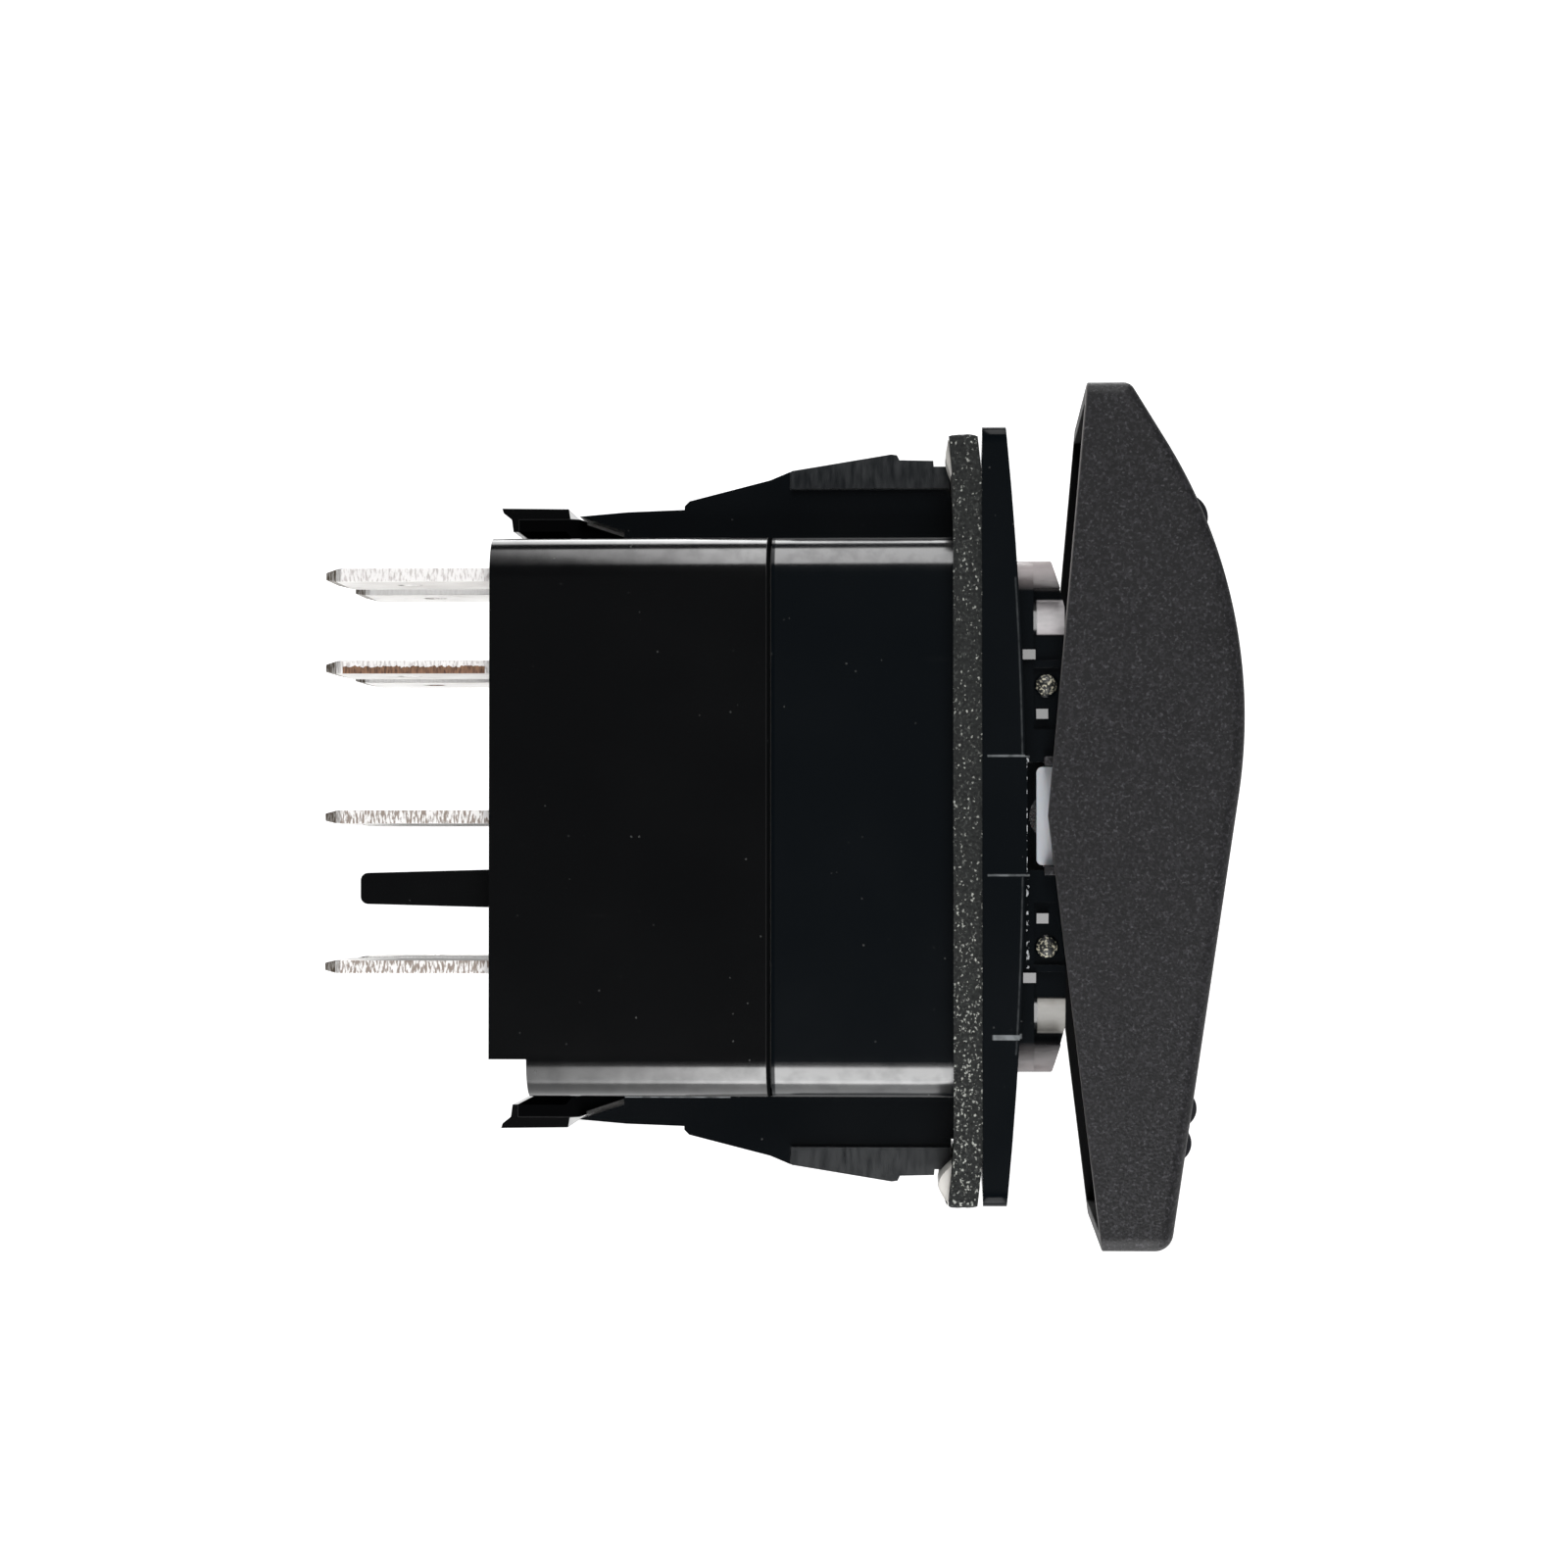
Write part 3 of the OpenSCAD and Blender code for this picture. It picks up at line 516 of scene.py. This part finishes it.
def moulded(name, color, roughness, **sockets):
    """Plain moulding: slight flow in the colour and a fine skin."""
    s = Shader(name, color, roughness, **sockets)
    cloud = s.noise(2.5, 4)
    skin = s.noise(0.18, 5)
    dark = tuple(c * 0.86 for c in color)
    s.set("Base Color", s.mix(cloud, dark, color))
    s.set("Roughness", s.ramp(skin, [(0.3, roughness * 0.85), (0.7, min(1.0, roughness * 1.2))]))
    s.bump(skin, 0.008, 0.35)
    return s.mat


def lens_plastic():
    """Smoked lens with fine flutes inside and a smooth glossy skin."""
    s = Shader("lens", (0.018, 0.018, 0.02), 0.12, Specular_IOR_Level=0.55, Coat_Weight=0.6,
               Coat_Roughness=0.06)
    flutes = s.node("TexWave", wave_type="BANDS", bands_direction="Y")
    flutes.inputs["Scale"].default_value = 420
    s.put(flutes.inputs["Vector"], s.place)
    smear = s.noise(1.2, 4)
    s.set("Base Color", s.mix(flutes.outputs["Fac"], (0.012, 0.012, 0.014), (0.03, 0.03, 0.034)))
    s.set("Roughness", s.ramp(smear, [(0.3, 0.08), (0.7, 0.2)]))
    s.bump(smear, 0.004, 0.3)
    return s.mat


def rocker_inside():
    """Black, unpolished inside of the rocker, mottled by release agent."""
    s = Shader("rocker_inside", (0.004, 0.004, 0.0045), 0.8, Specular_IOR_Level=0.15)
    cloud = s.noise(2.0, 4)
    s.set("Base Color", s.mix(cloud, (0.002, 0.002, 0.0024), (0.006, 0.006, 0.0068)))
    s.bump(s.noise(0.3, 4), 0.01, 0.4)
    return s.mat


MATERIALS = {
    "rocker_plastic": rocker_plastic(),
    "rocker_inside": rocker_inside(),
    "lens": lens_plastic(),
    "white_nylon": moulded("white_nylon", (0.55, 0.565, 0.60), 0.42, Subsurface_Weight=0.15,
                           Subsurface_Scale=0.001),
    "ivory_nylon": moulded("ivory_nylon", (0.72, 0.68, 0.55), 0.4),
    "steel": metal("steel", (0.62, 0.62, 0.62), 0.25, 0.2, (1, 0.1, 1)),
    "spring_steel": metal("spring_steel", (0.5, 0.5, 0.5), 0.3),
    "copper": metal("copper", (0.78, 0.42, 0.26), 0.3, 0.2, (1, 1, 0.1), (0.5, 0.26, 0.17)),
    "silver_contact": metal("silver_contact", (0.88, 0.87, 0.84), 0.25),
    "bracket_plastic": bracket_plastic(),
    "base_plastic": base_plastic(),
    "foam": foam(),
    "seal_rubber": moulded("seal_rubber", (0.02, 0.02, 0.02), 0.65),
    "led_resin": moulded("led_resin", (0.55, 0.09, 0.03), 0.15, Transmission_Weight=0.3),
    "resistor_lacquer": moulded("resistor_lacquer", (0.5, 0.35, 0.19), 0.35),
    "tinned_wire": metal("tinned_wire", (0.78, 0.77, 0.74), 0.3),
    "tinned_copper": tinned_copper(),
    "liner": moulded("liner", (0.72, 0.70, 0.66), 0.45, Transmission_Weight=0.15),
}


# ---------------------------------------------------------------- meshes

def make_piece(name, bm, material, body, smooth_below=40):
    """Turns a bmesh in millimetres into an object that rides on a body of the mechanism."""
    bmesh.ops.recalc_face_normals(bm, faces=bm.faces)
    bmesh.ops.scale(bm, vec=(MM, MM, MM), verts=bm.verts)
    mesh = bpy.data.meshes.new(name)
    bm.to_mesh(mesh)
    bm.free()
    mesh.shade_smooth()
    mesh.set_sharp_from_angle(angle=math.radians(smooth_below))
    mesh.materials.append(MATERIALS[material])
    obj = bpy.data.objects.new(name, mesh)
    bpy.context.collection.objects.link(obj)
    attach(obj, body)
    return obj


def bevel(obj, width, angle=40, flatten=True):
    """Rounds an object's sharp edges with modifiers, leaving its own mesh alone."""
    if flatten:
        weld = obj.modifiers.new("weld", "WELD")
        weld.merge_threshold = 0.002 * MM
        flat = obj.modifiers.new("flat", "DECIMATE")
        flat.decimate_type = "DISSOLVE"
        flat.angle_limit = math.radians(0.2)
    mod = obj.modifiers.new("bevel", "BEVEL")
    mod.width = width * MM
    mod.segments = 2
    mod.limit_method = "ANGLE"
    mod.angle_limit = math.radians(angle)
    # the large faces keep their own shading, and the bevels blend between them
    weighted = obj.modifiers.new("weighted", "WEIGHTED_NORMAL")
    weighted.mode = "FACE_AREA"
    weighted.keep_sharp = True


def arc(centre, radius, start, stop, steps):
    """Points of an arc; the angle runs from the first coordinate's axis towards the second's."""
    turns = [start + (stop - start) * i / steps for i in range(steps + 1)]
    return [Vector((centre.x + radius * math.cos(t), centre.y + radius * math.sin(t))) for t in turns]


def divided(start, stop, steps):
    """Points along a line, without its last one."""
    return [start.lerp(stop, i / steps) for i in range(steps)]


def rounded_rect(width, length, radius, spacing):
    """Outline of a rounded rectangle in Y and Z, with points about one spacing apart."""
    corners = [(1, 1, 0), (-1, 1, 90), (-1, -1, 180), (1, -1, 270)]
    points = []
    for index, (sy, sz, turn) in enumerate(corners):
        centre = Vector((sy * (width / 2 - radius), sz * (length / 2 - radius)))
        steps = max(3, round(radius * math.pi / 2 / spacing))
        points += arc(centre, radius, math.radians(turn), math.radians(turn + 90), steps)
        ny, nz, _ = corners[(index + 1) % 4]
        following = Vector((ny * (width / 2 - radius), nz * (length / 2 - radius)))
        out = Vector((math.cos(math.radians(turn + 90)), math.sin(math.radians(turn + 90)))) * radius
        run = (following - centre).length
        points += divided(centre + out, following + out, max(1, round(run / spacing)))[1:]
    return points


# ---------------------------------------------------------------- rocker cap

# the CAD rocker's own dimensions, in millimetres
HALF_LEN, HALF_W = 25.5, 12.45
UPPER_TILT, LOWER_TILT = math.radians(31.5), math.radians(8.6)
UPPER_X, LOWER_X, SKIRT_X = 10.42, 12.68, 5.55
SKIRT_UP, SKIRT_DOWN = math.tan(math.radians(5.2)), math.tan(math.radians(6.9))
CROWN_R, FACE_T, END_T, SIDE_T = 31.0, 1.8, 1.0, 1.3
HOLLOW_W = HALF_W - SIDE_T
LENS_HALF_W = 6.3
UPPER_LENS_Z, UPPER_LENS_H, LOWER_LENS_Z, LOWER_LENS_H = 18.3, 2.7, -18.6, 4.3
# roundings that only the visual rocker has
EDGE_R, LOWER_END_R, UPPER_END_R = 0.85, 1.1, 0.75


def end_heights(inset, end_inset):
    """Height of each sloping face, sunk by inset, at end_inset from the end of the rocker."""
    return [x - inset / math.cos(t) + end_inset * math.tan(t)
            for x, t in ((UPPER_X, UPPER_TILT), (LOWER_X, LOWER_TILT))]


def crown_centre():
    """Centre of the arc that joins the two sloping faces."""
    tu, tl = math.tan(UPPER_TILT), math.tan(LOWER_TILT)
    z = (UPPER_X - LOWER_X + HALF_LEN * (tu - tl)) / (tu + tl)
    apex = Vector((UPPER_X + tu * (HALF_LEN - z), z))
    reach = CROWN_R * math.tan((UPPER_TILT + LOWER_TILT) / 2)
    tangent = apex + reach * Vector((-math.sin(UPPER_TILT), math.cos(UPPER_TILT)))
    return tangent - CROWN_R * Vector((math.cos(UPPER_TILT), math.sin(UPPER_TILT)))


def rocker_profile(inset, end_inset):
    """Side view from the lower skirt over the face to the upper skirt, and where the lens slots lie on it."""
    centre = crown_centre()
    half = HALF_LEN - end_inset
    upper_x, lower_x = end_heights(inset, end_inset)
    radius = CROWN_R - inset
    low_r, high_r = max(LOWER_END_R - inset, 0.08), max(UPPER_END_R - inset, 0.08)
    low_tan = low_r * math.tan((math.pi / 2 - LOWER_TILT) / 2)
    high_tan = high_r * math.tan((math.pi / 2 - UPPER_TILT) / 2)
    down = Vector((-math.sin(LOWER_TILT), -math.cos(LOWER_TILT)))
    up = Vector((-math.sin(UPPER_TILT), math.cos(UPPER_TILT)))
    low_start = centre + radius * Vector((math.cos(LOWER_TILT), -math.sin(LOWER_TILT)))
    high_start = centre + radius * Vector((math.cos(UPPER_TILT), math.sin(UPPER_TILT)))
    low_edge, high_edge = Vector((lower_x, -half)), Vector((upper_x, half))

    points = divided(Vector((SKIRT_X + half * SKIRT_DOWN, -half)), Vector((lower_x - low_tan, -half)), 4)
    points += arc(Vector((lower_x - low_tan, low_r - half)), low_r, -math.pi / 2, -LOWER_TILT, 10)
    slot_at = (centre.y - CROWN_R * math.sin(LOWER_TILT) - LOWER_LENS_Z) / math.cos(LOWER_TILT)
    slot_low = low_start + down * (slot_at + LOWER_LENS_H / 2)
    slot_high = low_start + down * (slot_at - LOWER_LENS_H / 2)
    points += divided(low_edge - down * low_tan, slot_low, 3)[1:]
    spans = [(len(points), len(points) + 2)]
    points += divided(slot_low, slot_high, 2) + divided(slot_high, low_start, 12)
    tilt = math.asin((UPPER_LENS_Z - centre.y) / CROWN_R)
    spread = UPPER_LENS_H / 2 / CROWN_R
    points += arc(centre, radius, -LOWER_TILT, tilt - spread, 44)[:-1]
    spans.append((len(points), len(points) + 3))
    points += arc(centre, radius, tilt - spread, tilt + spread, 3)[:-1]
    points += arc(centre, radius, tilt + spread, UPPER_TILT, 8)[:-1]
    points += divided(high_start, high_edge - up * high_tan, 5)
    points += arc(Vector((upper_x - high_tan, half - high_r)), high_r, UPPER_TILT, math.pi / 2, 10)
    skirt = Vector((SKIRT_X + half * SKIRT_UP, half))
    points += divided(Vector((upper_x - high_tan, half)), skirt, 4)[1:] + [skirt]
    return points, spans


def add_block(bm, low, high):
    """Box between two corners."""
    for vert in bmesh.ops.create_cube(bm, size=1)["verts"]:
        vert.co = Vector(low[i] + (high[i] - low[i]) * (vert.co[i] + 0.5) for i in range(3))


def face_columns(steps=7):
    """Distance from the middle and inset of each column of the rocker's outside, from side to side."""
    turns = [math.pi / 2 * (1 - i / steps) for i in range(steps + 1)]
    edge = [(HALF_W - EDGE_R + EDGE_R * math.sin(turn), EDGE_R * (1 - math.cos(turn))) for turn in turns]
    return [(-y, inset) for y, inset in edge] + [(-LENS_HALF_W, 0), (LENS_HALF_W, 0)] + edge[::-1]


def add_rocker_insides(bm):
    for side in (-1, 1):
        # ribs that stand on the actuator's bridge
        for rear, near, far in ((6.6, 10.45, 11.3), (11.05, 8.4, 10.45)):
            y = sorted((side * near, side * far))
            add_block(bm, (rear, y[0], -2.4), (15, y[1], 2.4))
        # small feet that steady the rocker either side of the actuator's cheek
        for end in (-1, 1):
            y, z = sorted((side * 10.42, side * 11.3)), sorted((end * 2.95, end * 3.5))
            add_block(bm, (5.35, y[0], z[0]), (9, y[1], z[1]))
    # stiffeners across the hollow
    for z, front in ((-8, 12.4), (8, 14.0)):
        add_block(bm, (front - 1.6, -HOLLOW_W - 0.2, z - 0.6), (front, HOLLOW_W + 0.2, z + 0.6))


def rocker_cap():
    bm = bmesh.new()

    def column(y, inset, end_inset):
        return [bm.verts.new((p.x, y, p.y)) for p in rocker_profile(inset, end_inset)[0]]

    outer = [column(y, inset, inset) for y, inset in face_columns()]
    inner = [column(y, FACE_T, END_T) for y in (-HOLLOW_W, -LENS_HALF_W, LENS_HALF_W, HOLLOW_W)]
    last = len(outer[0]) - 1
    left_of_slots = len(outer) // 2 - 1
    _, spans = rocker_profile(0, 0)
    slotted = {i for low, high in spans for i in range(low, high)}

    for shell, middle in ((outer, left_of_slots), (inner, 1)):
        for c in range(len(shell) - 1):
            for i in range(last):
                if not (c == middle and i in slotted):
                    face = bm.faces.new((shell[c][i], shell[c + 1][i], shell[c + 1][i + 1], shell[c][i + 1]))
                    face.material_index = 1 if shell is inner else 0
    # walls of the lens slots
    slot_out, slot_in = outer[left_of_slots:left_of_slots + 2], inner[1:3]
    for low, high in spans:
        for o, n in zip(slot_out, slot_in):
            for i in range(low, high):
                bm.faces.new((o[i], o[i + 1], n[i + 1], n[i]))
        for i in (low, high):
            bm.faces.new((slot_out[0][i], slot_out[1][i], slot_in[1][i], slot_in[0][i]))
    # flat sides, and the rim of the skirt
    for out, inn, side in ((outer[0], inner[0], -1), (outer[-1], inner[-1], 1)):
        knee_out = bm.verts.new((SKIRT_X, side * HALF_W, 0))
        knee_in = bm.verts.new((SKIRT_X, side * HOLLOW_W, 0))
        bm.faces.new(out + [knee_out])
        bm.faces.new(inn + [knee_in]).material_index = 1
        bm.faces.new((out[0], knee_out, knee_in, inn[0]))
        bm.faces.new((knee_out, out[last], inn[last], knee_in))
    for i in (0, last):
        bm.faces.new([col[i] for col in outer] + [col[i] for col in reversed(inner)])
    add_rocker_insides(bm)

    piece = make_piece("rocker_shell", bm, "rocker_plastic", "rocker")
    piece.data.materials.append(MATERIALS["rocker_inside"])
    bevel(piece, 0.1, angle=50, flatten=False)
    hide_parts("rocker_cap")


rocker_cap()


# ---------------------------------------------------------------- foam gasket

GASKET_T, GASKET_W, GASKET_LEN = 1.7, 24.4, 45.4
# the outer edge was cut a little low, and its front and back rims are worn in
GASKET_DROP, RIM_WEAR = 0.28, 0.07
# each end starts to bend at BEND_FROM, and has sprung back by SPRING_BACK when BEND_OVER further out
SPRING_BACK, BEND_FROM, BEND_OVER = 0.28, 19.6, 3.0


def bend(x, z):
    """Moves a point of the gasket back from the flange where its ends have sprung away."""
    return x - SPRING_BACK * max(0.0, (abs(z) - BEND_FROM) / BEND_OVER) ** 1.3


def gasket_hole():
    """The housing's outline, widened into a slot for each snap wing."""
    slot_w, slot_from, slot_to = 6.15, 16.85, 19.5
    hole = [p for p in rounded_rect(20.5, 33.7, 2.2, 0.8) if abs(p.x) >= slot_w or abs(p.y) <= 16]
    hole += [Vector((sy * slot_w, sz * z)) for sy in (-1, 1) for sz in (-1, 1) for z in (slot_from, slot_to)]
    return sorted(hole, key=lambda p: math.atan2(p.y, p.x))


def foam_gasket():
    """Foam frame whose outer edge is cut unevenly."""
    bm = bmesh.new()
    layers = 9
    outside, hole = rounded_rect(GASKET_W, GASKET_LEN, 0.35, 0.2), gasket_hole()

    def ring(outline, x, rough):
        """Outline at one depth; rough is 1 for the ragged outer edge and 0 for the hole."""
        made = []
        for i, p in enumerate(outline):
            before, after = outline[i - 1], outline[(i + 1) % len(outline)]
            out = Vector(((after - before).y, -(after - before).x)).normalized()
            spot = Vector((x * 3, p.x * 3, p.y * 3))
            wobble = noise.noise(spot) * 0.05 + noise.noise(spot * 2.7) * 0.035
            wobble += noise.noise(p.to_3d() * 0.35) * 0.06
            uneven = RIM_WEAR if x in (0, GASKET_T) else 0.0
            q = p + out * rough * (wobble - uneven)
            z = q.y - GASKET_DROP * rough
            made.append(bm.verts.new((bend(x, z), q.x, z)))
        return made

    def wall(a, b):
        for i in range(len(a)):
            j = (i + 1) % len(a)
            bm.faces.new((a[i], a[j], b[j], b[i]))

    outer = [ring(outside, GASKET_T * i / layers, 1) for i in range(layers + 1)]
    inner = [ring(hole, GASKET_T * i, 0) for i in (0, 1)]
    for i in range(layers):
        wall(outer[i], outer[i + 1])
    wall(inner[0], inner[1])
    for a, b in ((outer[0], inner[0]), (outer[-1], inner[1])):
        edges = []
        for loop in (a, b):
            edges += [bm.edges.get((loop[i], loop[(i + 1) % len(loop)])) for i in range(len(loop))]
        bmesh.ops.triangle_fill(bm, use_beauty=True, edges=edges)
    piece = make_piece("foam_gasket", bm, "foam", "housing", 50)
    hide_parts("panel_gasket")


foam_gasket()


def liner_flap(name, side, proud, low, high):
    """Curl of pale release liner left behind one end of the gasket, from low to high in Z."""
    bm = bmesh.new()
    rows, cols, middle, half, behind = 14, 26, -0.5, 10.6, 0.06
    grid = []
    for j in range(cols + 1):
        y = middle - half + 2 * half * j / cols
        height = proud * (0.8 + 0.3 * noise.noise(Vector((y * 0.3, side, 0))))
        line = []
        for i in range(rows + 1):
            z = side * (low + (high - low) * i / rows)
            curl = height * math.sin(math.pi * min(1.0, 1.08 * i / rows))
            x = bend(-behind, z) - curl + 0.05 * noise.noise(Vector((y * 0.8, z * 0.8, 3)))
            line.append(bm.verts.new((x, y, z)))
        grid.append(line)
    for j in range(cols):
        for i in range(rows):
            bm.faces.new((grid[j][i], grid[j + 1][i], grid[j + 1][i + 1], grid[j][i + 1]))
    bm.faces.new(grid[0])
    bm.faces.new(grid[-1])
    piece = make_piece(name, bm, "liner", "housing", 60)
    skin = piece.modifiers.new("skin", "SOLIDIFY")
    skin.thickness = 0.07 * MM
    skin.offset = 0


liner_flap("liner_top", 1, 0.3, 20.2, 22.2)
liner_flap("liner_bottom", -1, 0.85, 20.6, 22.9)


# ---------------------------------------------------------------- CAD nodes

# width of the rounding on the edges of each node that has one, in millimetres
BEVELS = {"base_housing": 0.2, "mounting_bracket": 0.12, "actuator": 0.08}
BEVELS |= {"upper_lens": 0.12, "lower_lens": 0.12}
BEVELS |= {f"terminal_{number}": 0.06 for number in range(1, 9)}

slots = {entry["node"]: entry["material_slot"] for entry in frame["record"]["subparts"]}
for node, obj in frame["nodes"].items():
    for slot in obj.material_slots:
        slot.material = MATERIALS[slots[node]]
    if node in BEVELS:
        bevel(obj, BEVELS[node], flatten=node != "actuator")
